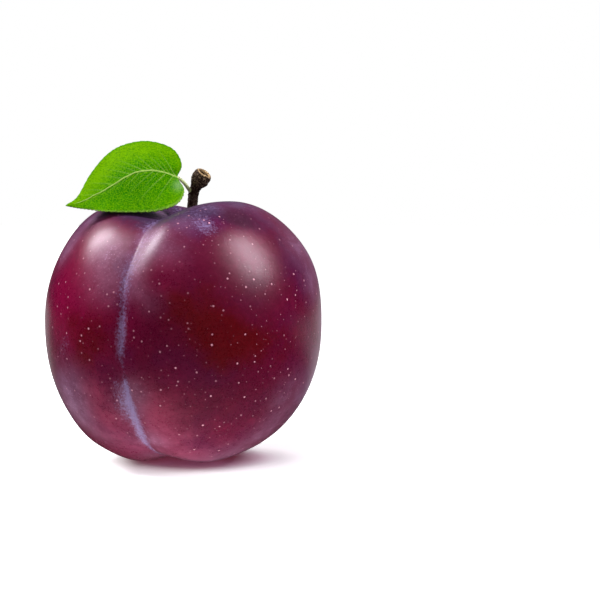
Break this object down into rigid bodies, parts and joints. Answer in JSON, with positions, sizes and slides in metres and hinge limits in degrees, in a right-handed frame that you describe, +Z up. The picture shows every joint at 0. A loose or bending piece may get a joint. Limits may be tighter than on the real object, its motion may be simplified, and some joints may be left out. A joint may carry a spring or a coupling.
{
  "type": "plum",
  "caption": "Ripe round plum with a suture groove and a bloomy skin, standing on its base with its short knobbed stem and a toothed oval leaf.",
  "frame": {"origin": "on the surface the plum rests on, under the middle of the fruit", "axes": "+Z up along the fruit's axis to the stem; the groove faces -Y, turned a little towards -X; the leaf reaches towards -X"},
  "size_m": [0.058, 0.058, 0.0672],
  "materials": {
    "fruit_skin": "satin",
    "stem_bark": "matte",
    "leaf_green": "satin"
  },
  "bodies": {
    "root": {"fruit": "fruit_skin", "stem": "stem_bark", "leaf": "leaf_green"}
  },
  "joints": []
}
